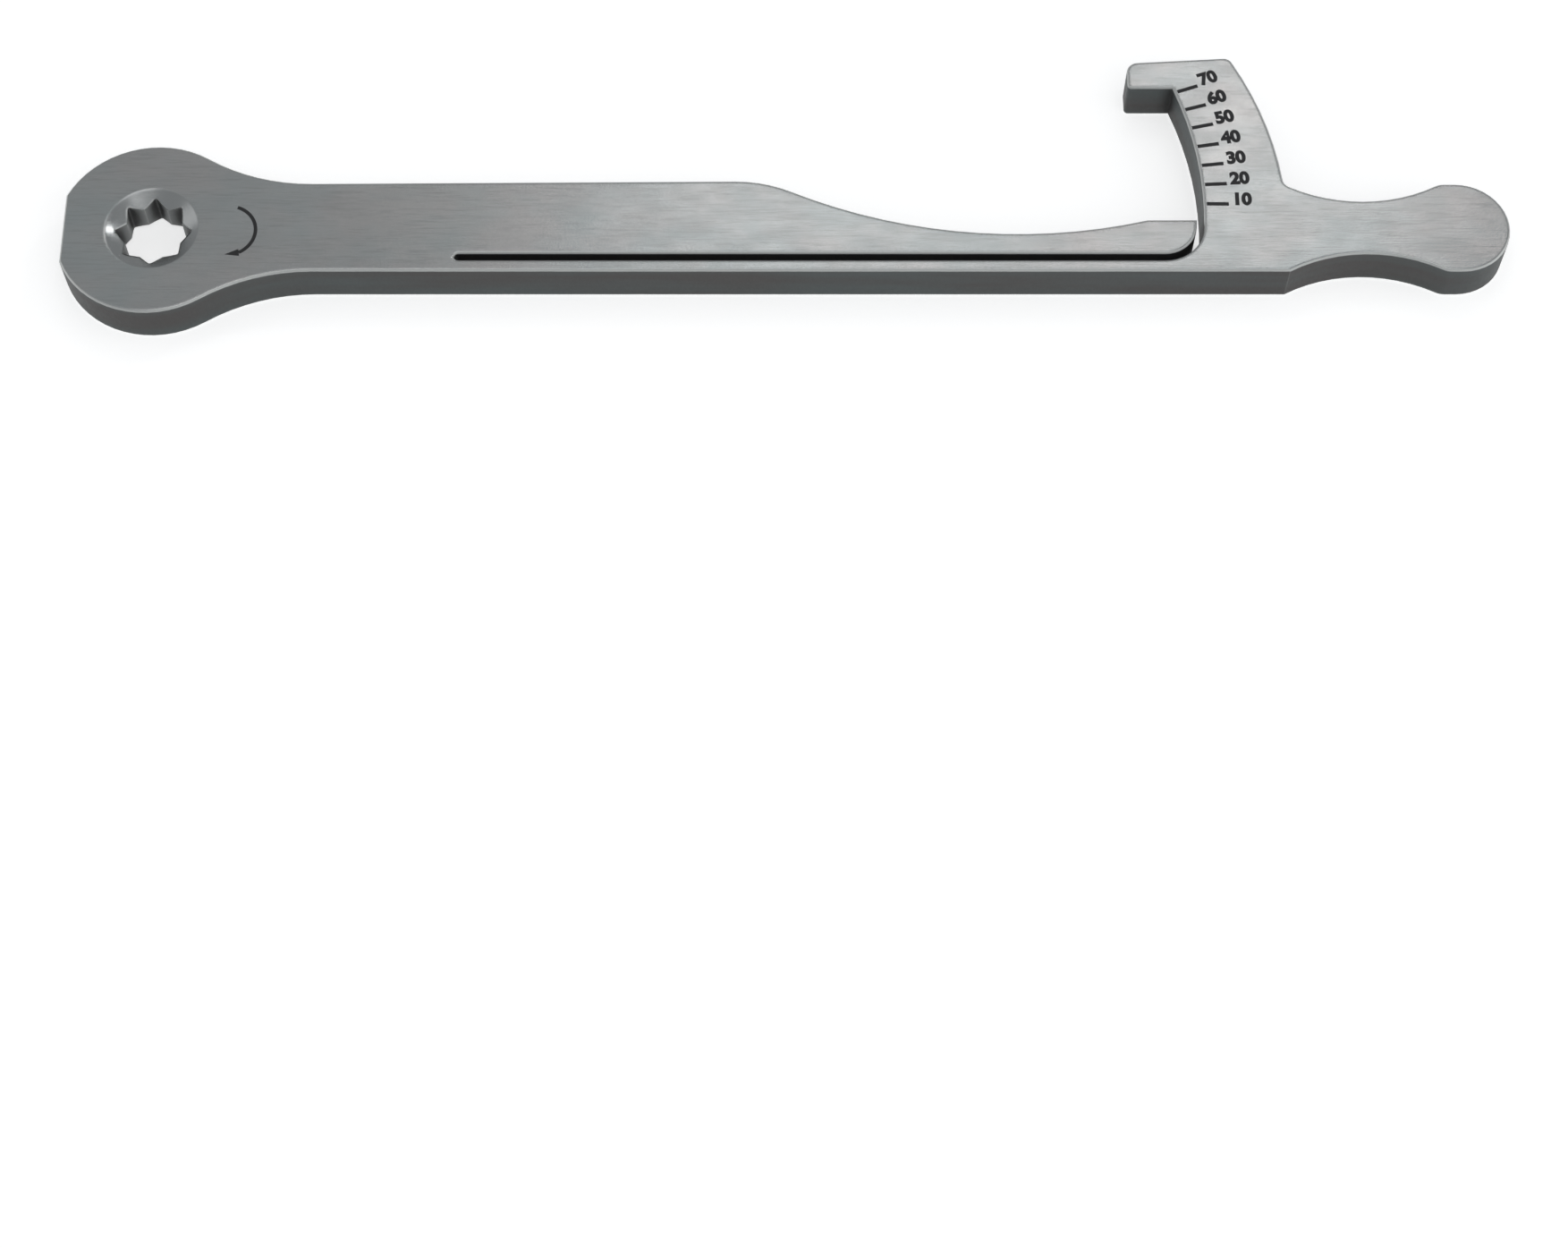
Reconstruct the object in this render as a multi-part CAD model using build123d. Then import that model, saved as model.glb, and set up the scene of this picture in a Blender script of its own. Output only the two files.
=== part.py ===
from build123d import *
import math
import os

# Beam-type implant torque wrench, wire-cut in one piece from a stainless steel plate.
# The origin is on the axis of the drive socket, in the plane of the underside.
# X runs along the handle, Y runs towards the scale, Z comes out of the marked face.

# Plate
thickness = 3.5
edge_break = 0.12

# Head and drive socket
head_radius = 7.25
head_flat = 6.65
head_fillet = 15.0
socket_square = 4.1
socket_corner = 0.15
countersink_diameter = 7.0
countersink_angle = 120.0

# Rigid arm, from the head to its shoulder
near_edge = 3.7
far_edge_at_head = 3.9
far_edge_at_shoulder = 4.2
shoulder_round = 10.0

# Measuring beam, and the slot that frees it
beam_width = 0.95
slot_width = 0.55
slot_root_x = 22.9

# Slender end of the rigid arm, with the pointer
neck_x = 64.5
neck_width = 1.75
neck_sweep = 40.0
pointer_rise = 1.2
pointer_heel = 2.5

# Scale plate, carried by the far end of the beam
scale_centre_x = 48.5
scale_centre_y = 2.3
scale_radius = 30.0
plate_centre_x = 55.7
plate_centre_y = 1.45
plate_radius = 29.0
plate_top = 15.35
plate_top_slope = 3.4
plate_corner = 0.7
plate_foot = 0.8

# Stop hook at the end of the pointer's travel
pointer_travel = 11.8
hook_reach = 3.4
hook_corner = 0.9
hook_lip = 0.3

# Handle, with a finger scallop on each side and a round end
handle_width = 7.6
grip_width = 4.6
grip_radius = 12.0
grip_blend = 1.5
end_land = 1.2

# Levels across the width that follow from the sizes above
slot_near_y = beam_width - near_edge
slot_far_y = slot_near_y + slot_width
neck_far_y = slot_far_y + neck_width
pointer_y = neck_far_y + pointer_rise
hook_y = pointer_y + pointer_travel
handle_y = handle_width / 2 - near_edge
handle_far_y = handle_width - near_edge


def chord(radius, offset):
    # Half length of the chord that lies at this offset from a circle's centre.
    return (radius**2 - offset**2) ** 0.5


def scale_x(y):
    # Place of the scale's inner arc along X, at the level y.
    return scale_centre_x + chord(scale_radius, y - scale_centre_y)


def plate_x(y):
    # Place of the plate's outer arc along X, at the level y.
    return plate_centre_x + chord(plate_radius, y - plate_centre_y)


# Places along the length that follow from the arcs
shoulder_x = neck_x - chord(neck_sweep, neck_sweep + neck_far_y - far_edge_at_shoulder)
hook_x = scale_x(hook_y) - hook_reach
foot_x = plate_x(handle_far_y)
grip_run = chord(grip_radius, grip_radius - (handle_width - grip_width) / 2)
grip_x = foot_x + grip_run
end_x = grip_x + grip_run + end_land


def block(x0, y0, x1, y1):
    # Rectangle between two corners.
    return Pos((x0 + x1) / 2, (y0 + y1) / 2) * Rectangle(x1 - x0, y1 - y0)


def disc(x, y, radius):
    return Pos(x, y) * Circle(radius)


def rounded(sketch, radius, *corners):
    # Rounds the corners of a sketch that lie nearest to the given points.
    chosen = [sketch.vertices().sort_by_distance((x, y, 0))[0] for x, y in corners]
    return fillet(chosen, radius)


def head():
    # Round head with one flat, at the end away from the handle.
    end = block(-2 * head_radius, -head_radius, -head_flat, head_radius)
    return Circle(head_radius) - end


def rigid_arm():
    # Arm from the head to the pointer. Its pointer ends one slot width short of the scale.
    outline = Polyline(
        (0, far_edge_at_head),
        (shoulder_x, far_edge_at_shoulder),
        (scale_x(pointer_y), far_edge_at_shoulder),
        (scale_x(pointer_y), slot_far_y),
        (slot_root_x, slot_far_y),
        (slot_root_x, -near_edge),
        (0, -near_edge),
        close=True,
    )
    arm = make_face(outline)
    arm -= disc(neck_x, neck_far_y + neck_sweep, neck_sweep)
    arm -= block(neck_x, pointer_y, scale_x(pointer_y), far_edge_at_shoulder)
    arm &= disc(scale_centre_x, scale_centre_y, scale_radius - slot_width) + block(
        0, -near_edge, neck_x, far_edge_at_shoulder
    )
    arm = rounded(arm, pointer_heel, (scale_x(slot_far_y) - slot_width, slot_far_y))
    return rounded(arm, shoulder_round, (shoulder_x, far_edge_at_shoulder))


def scale_plate():
    # Crescent between the scale's arc and the outer arc, with the stop hook on its tip.
    plate = disc(plate_centre_x, plate_centre_y, plate_radius)
    plate &= block(scale_centre_x, -near_edge, plate_centre_x + plate_radius, plate_top)
    plate -= disc(scale_centre_x, scale_centre_y, scale_radius)
    plate += block(hook_x, hook_y, plate_x(plate_top), plate_top)
    above = block(hook_x - plate_x(plate_top) - plate_top, 0, plate_top, plate_top)
    plate -= Pos(plate_x(plate_top), plate_top) * Rot(0, 0, plate_top_slope) * above
    plate = rounded(plate, plate_corner, (plate_x(plate_top), plate_top))
    plate = rounded(plate, hook_corner, (hook_x, plate_top))
    return rounded(plate, hook_lip, (hook_x, hook_y))


def handle():
    # Straight bar with two finger scallops and a round end. It starts inside the plate.
    bar = block((scale_x(0) + foot_x) / 2, -near_edge, end_x, handle_far_y)
    for side in (-1, 1):
        bar -= disc(grip_x, handle_y + side * (grip_width / 2 + grip_radius), grip_radius)
    for edge_y in (-near_edge, handle_far_y):
        bar = rounded(bar, grip_blend, (grip_x + grip_run, edge_y))
    return bar + disc(end_x, handle_y, handle_width / 2)


def flexure():
    # The whole outline: head, rigid arm, beam, scale plate and handle, in one face.
    beam = block(slot_root_x, -near_edge, foot_x, slot_near_y)
    carrier = rounded(
        scale_plate() + beam,
        pointer_heel + slot_width,
        (scale_x(slot_near_y), slot_near_y),
    )
    carrier = rounded(carrier + handle(), plate_foot, (foot_x, handle_far_y))
    body = rounded(
        head() + rigid_arm(),
        head_fillet,
        (chord(head_radius, far_edge_at_head), far_edge_at_head),
        (chord(head_radius, near_edge), -near_edge),
    )
    body += carrier
    return body - disc(slot_root_x, slot_near_y + slot_width / 2, slot_width / 2)


def drive_socket():
    # Eight-point socket of two crossed squares, with a lead-in cone at both faces.
    star = Rectangle(socket_square, socket_square)
    star += Rot(0, 0, 45) * Rectangle(socket_square, socket_square)
    tips = star.vertices().sort_by_distance((0, 0, 0))[-8:]
    cutter = extrude(fillet(tips, socket_corner), thickness)
    mouth = countersink_diameter / 2
    depth = mouth / math.tan(math.radians(countersink_angle / 2))
    cutter += Pos(0, 0, depth / 2) * Cone(mouth, 0, depth)
    cutter += Pos(0, 0, thickness - depth / 2) * Cone(0, mouth, depth)
    return cutter


def wrench_body():
    # The cut plate with its sharp edges broken, and the socket through its head.
    plate = extrude(flexure(), thickness)
    levels = plate.edges().group_by(Axis.Z)
    plate = chamfer(levels[0] + levels[-1], edge_break)
    return plate - drive_socket()


os.makedirs("parts", exist_ok=True)
export_step(wrench_body(), "parts/wrench_body.step")
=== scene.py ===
import math

import bmesh
import bpy
from mathutils import Matrix, Vector


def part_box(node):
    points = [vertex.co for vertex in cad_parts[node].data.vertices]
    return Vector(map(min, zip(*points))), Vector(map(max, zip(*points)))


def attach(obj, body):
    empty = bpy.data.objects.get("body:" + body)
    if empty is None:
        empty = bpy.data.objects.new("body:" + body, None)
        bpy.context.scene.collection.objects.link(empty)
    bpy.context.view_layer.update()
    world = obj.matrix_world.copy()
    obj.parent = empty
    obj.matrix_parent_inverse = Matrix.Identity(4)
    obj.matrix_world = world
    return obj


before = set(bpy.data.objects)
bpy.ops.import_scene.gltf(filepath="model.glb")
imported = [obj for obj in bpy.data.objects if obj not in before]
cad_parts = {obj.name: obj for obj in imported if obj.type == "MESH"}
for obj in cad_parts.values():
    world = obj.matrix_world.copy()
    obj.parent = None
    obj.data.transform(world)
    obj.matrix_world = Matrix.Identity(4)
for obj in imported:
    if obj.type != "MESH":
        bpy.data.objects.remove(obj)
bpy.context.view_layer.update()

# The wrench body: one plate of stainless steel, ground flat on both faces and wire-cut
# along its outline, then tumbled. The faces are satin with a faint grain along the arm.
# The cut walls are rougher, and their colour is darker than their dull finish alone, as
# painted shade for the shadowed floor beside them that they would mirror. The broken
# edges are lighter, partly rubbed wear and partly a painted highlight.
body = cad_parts["wrench_body"]
face_low, face_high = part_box("wrench_body")
face_level = face_high.z


def new_material(name):
    # An empty node material and its tree.
    material = bpy.data.materials.new(name)
    material.use_nodes = True
    material.node_tree.nodes.clear()
    return material, material.node_tree


def add_node(tree, kind, settings=None, **inputs):
    # One node with its settings. Each input is named, or numbered as in _0, and takes a
    # value, a colour or another node's socket.
    node = tree.nodes.new("ShaderNode" + kind)
    for name, value in (settings or {}).items():
        setattr(node, name, value)
    for name, value in inputs.items():
        number = name[1:]
        key = int(number) if number.isdigit() else name.replace("_", " ")
        socket = node.inputs[key]
        if isinstance(value, bpy.types.NodeSocket):
            tree.links.new(value, socket)
        else:
            socket.default_value = value
    return node


def object_grain(tree, per_metre, **inputs):
    # Noise over the object's own coordinates, with its own pace along each axis. It runs
    # from about 0.3 to about 0.7.
    place = add_node(tree, "TexCoord").outputs["Object"]
    spread = add_node(tree, "Mapping", Vector=place, Scale=per_metre).outputs["Vector"]
    return add_node(tree, "TexNoise", Vector=spread, Scale=1.0, **inputs).outputs["Fac"]


def ramp(tree, value, start, stop, low, high):
    # Maps the span from start to stop onto low to high, and holds the value there.
    return add_node(
        tree, "MapRange", _0=value, _1=start, _2=stop, _3=low, _4=high
    ).outputs["Result"]


def blend(tree, factor, low, high):
    # Mixes two colours.
    return add_node(
        tree, "Mix", {"data_type": "RGBA"}, _0=factor, _6=low, _7=high
    ).outputs[2]


def choose(tree, factor, low, high):
    # Mixes two values.
    return add_node(
        tree, "Mix", {"data_type": "FLOAT"}, _0=factor, _2=low, _3=high
    ).outputs[0]


def calculate(tree, operation, *values):
    # One step of arithmetic on one or two values.
    inputs = {f"_{number}": value for number, value in enumerate(values)}
    return add_node(tree, "Math", {"operation": operation}, **inputs).outputs[0]


def facing(tree, true_normal):
    # How squarely a surface faces up or down: 0 on a wall, 0.71 on a broken edge, 0.87 in
    # the lead-in cone and 1 on a face. Gives a mask from each kind upwards.
    level = add_node(tree, "SeparateXYZ", _0=true_normal).outputs["Z"]
    level = calculate(tree, "ABSOLUTE", level)
    on_edge = ramp(tree, level, 0.35, 0.5, 0, 1)
    on_cone = ramp(tree, level, 0.76, 0.82, 0, 1)
    on_face = ramp(tree, level, 0.92, 0.97, 0, 1)
    return on_edge, on_cone, on_face


def near_origin(tree, radius):
    # A mask of all that lies within a radius of the socket's axis.
    fade = 0.95
    place = add_node(tree, "TexCoord").outputs["Object"]
    across = add_node(
        tree, "VectorMath", {"operation": "MULTIPLY"}, _0=place, _1=(1, 1, 0)
    ).outputs["Vector"]
    distance = add_node(tree, "VectorMath", {"operation": "LENGTH"}, _0=across)
    return ramp(tree, distance.outputs["Value"], radius, fade * radius, 0, 1)


def satin_steel():
    # One finish for each way that a surface faces: ground face, turned lead-in cone,
    # broken edge and wire-cut wall.
    face_warm = (0.505, 0.50, 0.495, 1)
    face_cool = (0.465, 0.495, 0.495, 1)
    grain_colour = (0.28, 0.285, 0.285, 1)
    cone_colour = (0.42, 0.43, 0.43, 1)
    # Wear and painted highlight: the broken edges and the band beside them are lighter than
    # the faces.
    edge_wear_and_highlight = (0.60, 0.61, 0.60, 1)
    # Painted shade: both wall colours are darker than the dull wire-cut finish alone, and
    # stand in for the shadowed floor beside the walls that they would mirror.
    wall_cool = (0.116, 0.131, 0.131, 1)
    wall_brown = (0.106, 0.102, 0.100, 1)
    socket_colour = (0.36, 0.37, 0.37, 1)
    # Painted shade: a near-black for the inner corners.
    painted_corner_shade = (0.02, 0.02, 0.02, 1)
    grain_strength = 0.3
    corner_shade_strength = 0.9
    face_rough = (0.21, 0.26)
    cone_rough = 0.24
    edge_rough = 0.52
    wall_rough = (0.5, 0.6)
    wall_metal = 0.2
    wall_gloss = 0.2
    edge_rounding_width = 0.0003
    corner_reach = 0.0012
    socket_edge = 0.0036
    relief_depth = 0.00002
    relief_strength = 0.28

    material, tree = new_material("satin_steel")
    true_normal = add_node(tree, "NewGeometry").outputs["True Normal"]
    on_edge, on_cone, on_face = facing(tree, true_normal)
    in_socket = near_origin(tree, socket_edge)

    rounded = add_node(tree, "Bevel", {"samples": 8}, Radius=edge_rounding_width).outputs["Normal"]
    turn = add_node(
        tree, "VectorMath", {"operation": "DOT_PRODUCT"}, _0=rounded, _1=true_normal
    ).outputs["Value"]
    # How open each point is. It keeps the edge highlight out of hollows and sets where the
    # corner shade is painted.
    openness = add_node(
        tree,
        "AmbientOcclusion",
        {"samples": 8, "only_local": True},
        Distance=corner_reach,
    ).outputs["AO"]

    cloud = object_grain(tree, (120, 160, 160), Detail=3.0, Roughness=0.6)
    smear = object_grain(tree, (350, 700, 700), Detail=2.0, Roughness=0.5)
    ground = object_grain(tree, (500, 9000, 9000), Detail=3.0, Roughness=0.55)
    speckle = object_grain(tree, (7000, 7000, 7000), Detail=2.0, Roughness=0.5)
    cut = object_grain(tree, (6000, 6000, 2500), Detail=3.0, Roughness=0.6)
    band = object_grain(tree, (60, 60, 550), Detail=2.0, Roughness=0.5)

    # Wear and a painted highlight: the outer edges only are lightened, where the rounded
    # normal turns away, and unevenly.
    rubbed_and_highlit = ramp(tree, turn, 0.995, 0.9, 0, 1)
    rubbed_and_highlit = calculate(tree, "MULTIPLY", rubbed_and_highlit, ramp(tree, smear, 0.3, 0.6, 0.35, 1))
    rubbed_and_highlit = calculate(tree, "MULTIPLY", rubbed_and_highlit, ramp(tree, openness, 0.8, 0.97, 0, 1))

    # Colour, from the walls up to the faces. The walls' dark tone is partly painted shade,
    # and the near-black inner corners are painted shade.
    face = blend(tree, ramp(tree, cloud, 0.35, 0.65, 0, 1), face_cool, face_warm)
    scratches = ramp(tree, ground, 0.5, 0.75, 0, grain_strength)
    face = blend(tree, scratches, face, grain_colour)
    walls = blend(tree, ramp(tree, band, 0.35, 0.65, 0, 1), wall_brown, wall_cool)
    walls = blend(tree, in_socket, walls, socket_colour)
    # Painted shade: inner corners that ambient occlusion finds closed in are darkened to
    # near black.
    corner_shade_mask = ramp(tree, openness, 0.75, 0.98, corner_shade_strength, 0)
    walls = blend(tree, corner_shade_mask, walls, painted_corner_shade)
    colour = blend(tree, on_edge, walls, edge_wear_and_highlight)
    colour = blend(tree, on_cone, colour, cone_colour)
    colour = blend(tree, on_face, colour, face)
    # Painted highlight and wear: the outer edges lightened.
    colour = blend(tree, rubbed_and_highlit, colour, edge_wear_and_highlight)

    # Roughness and relief, in the same order.
    rough = choose(tree, on_edge, ramp(tree, cut, 0.3, 0.7, *wall_rough), edge_rough)
    rough = choose(tree, on_cone, rough, cone_rough)
    rough = choose(tree, on_face, rough, ramp(tree, smear, 0.3, 0.7, *face_rough))
    relief = choose(tree, on_edge, cut, choose(tree, 0.5, ground, speckle))
    bump = add_node(
        tree,
        "Bump",
        Strength=relief_strength,
        Distance=relief_depth,
        Height=relief,
        Normal=rounded,
    ).outputs["Normal"]

    shader = add_node(
        tree,
        "BsdfPrincipled",
        Base_Color=colour,
        Metallic=choose(tree, on_edge, wall_metal, 1.0),
        Specular_IOR_Level=wall_gloss,
        Roughness=rough,
        Normal=bump,
    )
    add_node(tree, "OutputMaterial", Surface=shader.outputs["BSDF"])
    return material


body.material_slots[0].material = satin_steel()

# The scale: seven short lines burned black by laser into the marked face, each along a
# radius of the scale's arc. They stand for 10 to 70 newton centimetres.
scale_centre = Vector((0.0485, 0.0023, 0))
scale_radius = 0.030
line_start = scale_radius + 0.00022
line_length = 0.00165
line_width = 0.0003
burn_height = 0.00001
first_angle = math.radians(-0.32)
angle_step = math.radians(3.24)
readings = (10, 20, 30, 40, 50, 60, 70)


def laser_black():
    # A matt black that is a little uneven.
    black = (0.006, 0.006, 0.007, 1)
    worn_black = (0.03, 0.03, 0.032, 1)
    rough = (0.45, 0.6)
    material, tree = new_material("laser_black")
    mottle = object_grain(tree, (5000, 5000, 5000), Detail=3.0, Roughness=0.6)
    bump = add_node(
        tree, "Bump", Strength=0.3, Distance=burn_height, Height=mottle
    ).outputs["Normal"]
    shader = add_node(
        tree,
        "BsdfPrincipled",
        Base_Color=blend(tree, mottle, black, worn_black),
        Roughness=ramp(tree, mottle, 0.3, 0.7, *rough),
        Normal=bump,
    )
    add_node(tree, "OutputMaterial", Surface=shader.outputs["BSDF"])
    return material


burned = laser_black()


def finished_mesh(shape, name):
    # Turns a bmesh into a mesh and frees it.
    mesh = bpy.data.meshes.new(name)
    shape.to_mesh(mesh)
    shape.free()
    return mesh


def place_mark(mesh, name, where):
    # Puts a mark's mesh at its place on the face and makes it ride on the wrench.
    mesh.transform(where)
    mesh.materials.clear()
    mesh.materials.append(burned)
    mark = bpy.data.objects.new(name, mesh)
    bpy.context.scene.collection.objects.link(mark)
    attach(mark, "root")


def along_radius(count, radius, aside=0.0):
    # Place on the face at a radius of the scale, on the line with this count, turned to
    # read outwards.
    angle = first_angle + count * angle_step
    spot = scale_centre + Matrix.Rotation(angle, 3, "Z") @ Vector((radius, aside, 0))
    spot.z = face_level
    return Matrix.Translation(spot) @ Matrix.Rotation(angle, 4, "Z")


for count, reading in enumerate(readings):
    name = f"scale_line_{reading}"
    bar = bmesh.new()
    bmesh.ops.create_cube(bar, size=1.0)
    bmesh.ops.scale(bar, vec=(line_length, line_width, 2 * burn_height), verts=bar.verts)
    where = along_radius(count, line_start + line_length / 2)
    place_mark(finished_mesh(bar, name), name, where)

# The numerals: plain bold figures in the same burned black, one beside each line. They
# read outwards along the line and stand a little towards the next one.
figure_height = 0.001
figure_share = 0.7
figure_radius = line_start + line_length + 0.001
figure_aside = 0.0004
figure_boldness = 0.00008
figure_steps = 4

for count, reading in enumerate(readings):
    name = f"scale_figure_{reading}"
    figure = bpy.data.curves.new(name, "FONT")
    figure.body = str(reading)
    figure.align_x = "CENTER"
    figure.align_y = "CENTER"
    figure.size = figure_height / figure_share
    figure.offset = figure_boldness
    figure.extrude = burn_height
    figure.resolution_u = figure_steps
    holder = bpy.data.objects.new(name, figure)
    bpy.context.scene.collection.objects.link(holder)
    bpy.context.view_layer.update()
    mesh = bpy.data.meshes.new_from_object(holder)
    bpy.data.objects.remove(holder)
    place_mark(mesh, name, along_radius(count, figure_radius, figure_aside))

# The turning mark: a burned arc beside the socket with a solid point at its lower end,
# which shows that the head is turned clockwise.
arrow_centre = Vector((0.00558, -0.00024, 0))
arrow_radius = 0.00216
arrow_line = 0.00027
arrow_from = math.radians(71)
arrow_to = math.radians(-61)
arrow_steps = 40
point_heading = math.radians(-171)
point_length = 0.00105
point_width = 0.0006


def raise_mark(flat):
    # Gives a flat mark its small height.
    raised = bmesh.ops.extrude_face_region(flat, geom=flat.faces[:])["geom"]
    bmesh.ops.translate(
        flat,
        vec=(0, 0, 2 * burn_height),
        verts=[item for item in raised if isinstance(item, bmesh.types.BMVert)],
    )
    bmesh.ops.recalc_face_normals(flat, faces=flat.faces)


arc = bmesh.new()
inner = arc.verts.new((arrow_radius - arrow_line / 2, 0, -burn_height))
outer = arc.verts.new((arrow_radius + arrow_line / 2, 0, -burn_height))
edge = arc.edges.new((inner, outer))
bmesh.ops.rotate(arc, verts=arc.verts, matrix=Matrix.Rotation(arrow_from, 3, "Z"))
bmesh.ops.spin(
    arc,
    geom=[inner, outer, edge],
    axis=(0, 0, 1),
    cent=(0, 0, 0),
    angle=arrow_to - arrow_from,
    steps=arrow_steps,
)
raise_mark(arc)
arrow_place = Matrix.Translation(arrow_centre + Vector((0, 0, face_level)))
place_mark(finished_mesh(arc, "turning_arc"), "turning_arc", arrow_place)

point = bmesh.new()
tip = point.verts.new((point_length, 0, -burn_height))
left = point.verts.new((0, point_width / 2, -burn_height))
right = point.verts.new((0, -point_width / 2, -burn_height))
point.faces.new((tip, left, right))
raise_mark(point)
line_end = Matrix.Rotation(arrow_to, 3, "Z") @ Vector((arrow_radius, 0, 0))
point_place = Matrix.Translation(line_end) @ Matrix.Rotation(point_heading, 4, "Z")
place_mark(
    finished_mesh(point, "turning_point"), "turning_point", arrow_place @ point_place
)

# The floor: one wide pale sheet under the wrench. It is white to the camera and in the
# metal's reflections, and keeps the soft shadow.
floor_size = 3.0
floor_gap = 0.00002


def pale_floor():
    # Pale paint, lifted to white on all rays that show it.
    paint = (0.8, 0.8, 0.8, 1)
    lift = 0.6
    material, tree = new_material("pale_floor")
    path = add_node(tree, "LightPath").outputs
    seen = calculate(tree, "MAXIMUM", path["Is Camera Ray"], path["Is Glossy Ray"])
    seen = calculate(tree, "MAXIMUM", seen, path["Is Transmission Ray"])
    matte = add_node(tree, "BsdfDiffuse", Color=paint).outputs["BSDF"]
    glow = add_node(tree, "Emission", Strength=calculate(tree, "MULTIPLY", seen, lift))
    both = add_node(tree, "AddShader", _0=matte, _1=glow.outputs["Emission"])
    add_node(tree, "OutputMaterial", Surface=both.outputs["Shader"])
    return material


sheet = bmesh.new()
bmesh.ops.create_grid(sheet, x_segments=1, y_segments=1, size=floor_size / 2)
mesh = finished_mesh(sheet, "floor")
mesh.transform(Matrix.Translation((0, 0, face_low.z - floor_gap)))
mesh.materials.append(pale_floor())
floor = bpy.data.objects.new("floor", mesh)
bpy.context.scene.collection.objects.link(floor)

# The light: a pale room all round and soft lamps. The two warm ones behind are mirrored in
# the faces, which grow brighter from the head to the handle. The weak ones round about
# show the walls and keep the faces light from other sides. The last one is small and
# narrow, and makes the bright spot in the socket's lead-in cone.
room_colour = (0.95, 0.98, 1, 1)
room_strength = 0.39
room = bpy.data.worlds.new("room")
bpy.context.scene.world = room
room.use_nodes = True
room_inputs = room.node_tree.nodes["Background"].inputs
room_inputs["Color"].default_value = room_colour
room_inputs["Strength"].default_value = room_strength


def soft_lamp(name, place, target, size, glow, colour=(1, 1, 1)):
    # A square area lamp that faces a point. Its glow is the brightness of its surface.
    lamp = bpy.data.lights.new(name, "AREA")
    lamp.size = size
    lamp.energy = glow * math.pi * size**2
    lamp.color = colour
    holder = bpy.data.objects.new(name, lamp)
    holder.location = place
    heading = Vector(target) - Vector(place)
    holder.rotation_euler = heading.to_track_quat("-Z", "Y").to_euler()
    holder.visible_camera = False
    bpy.context.scene.collection.objects.link(holder)
    return lamp


head = Vector((0, 0, 0))
grip = Vector((0.09, 0, 0))
middle = (head + grip) / 2
warm = (1, 0.975, 0.965)
glint_spread = math.radians(6)

soft_lamp("back_lamp", (0.055, 0.40, 0.6), middle, size=0.13, glow=1.25, colour=warm)
soft_lamp("plate_lamp", (0.2, 0.42, 0.6), middle, size=0.11, glow=1.8, colour=warm)
soft_lamp("top_lamp", (0.05, -0.08, 0.7), middle, size=0.4, glow=0.8)
soft_lamp("right_lamp", (0.5, -0.05, 0.15), grip, size=0.35, glow=0.8)
soft_lamp("front_lamp", (0.4, -0.5, 0.45), middle, size=0.6, glow=0.4)
soft_lamp("left_lamp", (-0.4, 0.05, 0.12), middle, size=0.3, glow=0.45)
glint = soft_lamp("glint_lamp", (0.427, 0.368, 0.416), head, size=0.05, glow=0.042)
glint.spread = glint_spread

# The camera stands in front of the wrench, about level with its middle, and looks down.
# It has a plain lens, with no shift and no depth of field.
camera_place = (0.0471, -0.12913, 0.2064)
camera_pitch = 64.57
camera_lens = 73.56
camera_clip = 0.01
lens = bpy.data.cameras.new("camera")
lens.lens = camera_lens
lens.clip_start = camera_clip
camera = bpy.data.objects.new("camera", lens)
camera.location = camera_place
camera.rotation_euler = (math.radians(90 - camera_pitch), 0, 0)
bpy.context.scene.collection.objects.link(camera)
bpy.context.scene.camera = camera

bpy.context.scene.view_settings.view_transform = "Standard"
